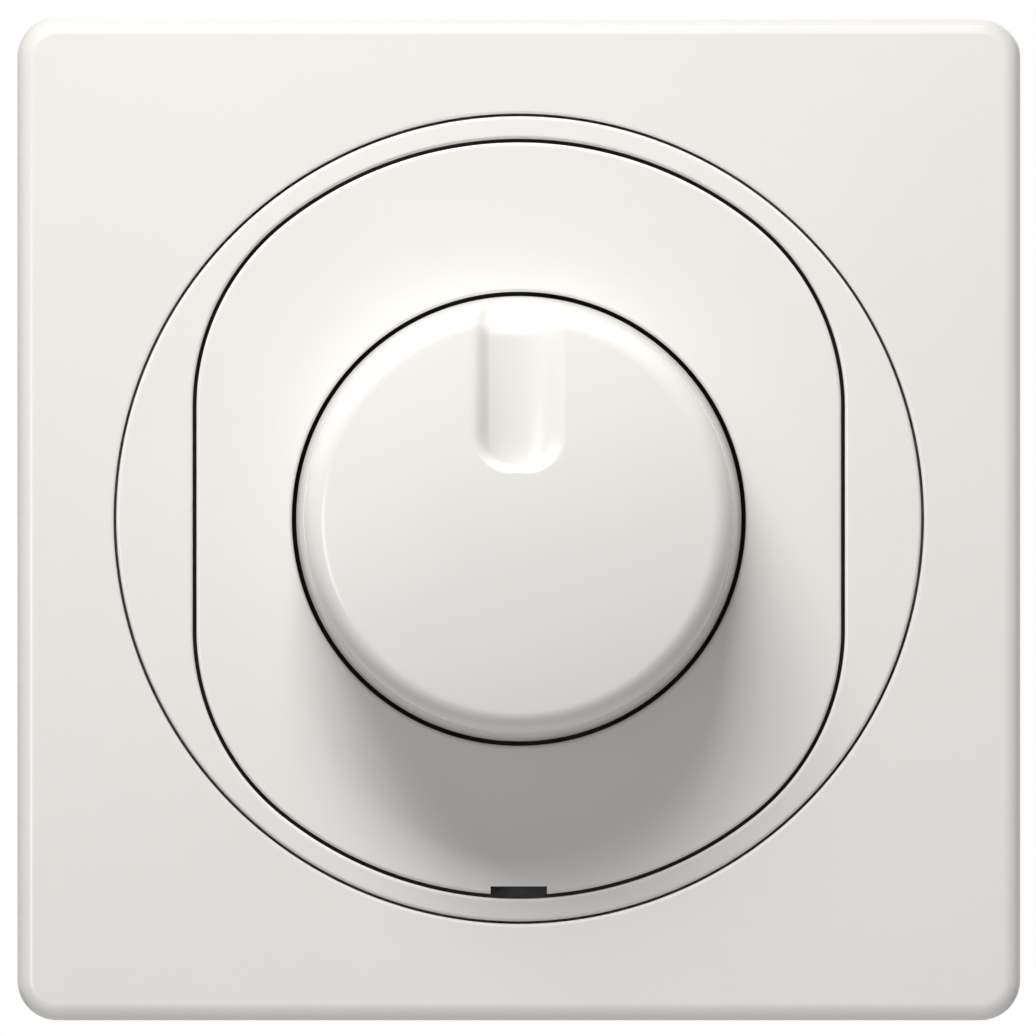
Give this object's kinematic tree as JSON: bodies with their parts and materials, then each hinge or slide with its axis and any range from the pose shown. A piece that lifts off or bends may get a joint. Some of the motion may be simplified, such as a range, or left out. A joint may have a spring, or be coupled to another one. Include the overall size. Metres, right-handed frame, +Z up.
{
  "type": "dimmer switch",
  "caption": "Flush-mounted rotary push dimmer: square cover frame, round adapter ring, flat-sided centre plate and a turning knob with a finger recess, on an insert for a wall box.",
  "frame": {"origin": "on the knob's axis, in the plane of the wall, midway between the box screws", "axes": "+X to the right seen from the room, +Y into the wall, +Z up"},
  "size_m": [0.08, 0.0443, 0.08],
  "materials": {
    "white_plastic": "satin gloss",
    "dark_plastic": "matt",
    "plated_brass": "nickel plated",
    "spring_steel": "drawn wire",
    "aluminium": "turned",
    "zinc_steel": "zinc plated",
    "pot_plastic": "moulded",
    "phenolic_board": "pressed paper",
    "tinned_brass": "tin plated",
    "bronze": "rolled",
    "plunger_plastic": "moulded",
    "housing_plastic": "moulded",
    "glass_board": "lacquered",
    "ferrite": "sintered",
    "copper_wire": "lacquered wire",
    "capacitor_yellow": "moulded",
    "capacitor_red": "moulded",
    "resistor_coat": "lacquered",
    "diac_coat": "lacquered",
    "triac_body": "moulded on a metal tab",
    "silicone_pad": "matt",
    "fuse_glass": "clear"
  },
  "bodies": {
    "base": {"frame": "white_plastic", "adapter_ring": "white_plastic", "centre_plate": "white_plastic", "carrier": "dark_plastic", "carrier_nut": "plated_brass", "support_plate": "zinc_steel", "pot_nut": "plated_brass", "pot_bush": "plated_brass", "pot_case": "pot_plastic", "track_board": "phenolic_board", "pot_terminals": "tinned_brass", "switch_case": "dark_plastic", "fixed_contacts": "tinned_brass", "return_spring": "spring_steel", "housing": "housing_plastic", "housing_screws": "zinc_steel", "circuit_board": "glass_board", "choke_core": "ferrite", "choke_winding": "copper_wire", "film_capacitor": "capacitor_yellow", "timing_capacitor": "capacitor_red", "resistors": "resistor_coat", "diac": "diac_coat", "triac": "triac_body", "insulating_pad": "silicone_pad", "triac_rivet": "aluminium", "fuse": "fuse_glass", "fuse_clips": "tinned_brass", "terminal_cages": "tinned_brass", "terminal_screws": "zinc_steel"},
    "plunger": {"push_plunger": "plunger_plastic", "contact_bridge": "bronze"},
    "knob": {"knob": "white_plastic", "knob_spring_ring": "spring_steel", "spindle": "aluminium"},
    "wiper": {"wiper": "pot_plastic", "wiper_contact": "bronze"}
  },
  "joints": [
    {"name": "knob_push", "type": "slide", "parent": "base", "child": "plunger", "axis": [0, 1, 0], "range_m": [0, 0.0015], "stiffness_N_per_m": 1500, "springref_m": -0.003, "deforming": ["return_spring"]},
    {"name": "knob_turn", "type": "hinge", "parent": "plunger", "child": "knob", "pos_m": [0, 0, 0], "axis": [0, 1, 0], "range_deg": [-150, 150]},
    {"name": "wiper_turn", "type": "hinge", "parent": "base", "child": "wiper", "pos_m": [0, 0, 0], "axis": [0, 1, 0], "range_deg": [-150, 150]}
  ],
  "couplings": [
    {"joint": "wiper_turn", "follows": "knob_turn", "ratio": 1}
  ]
}
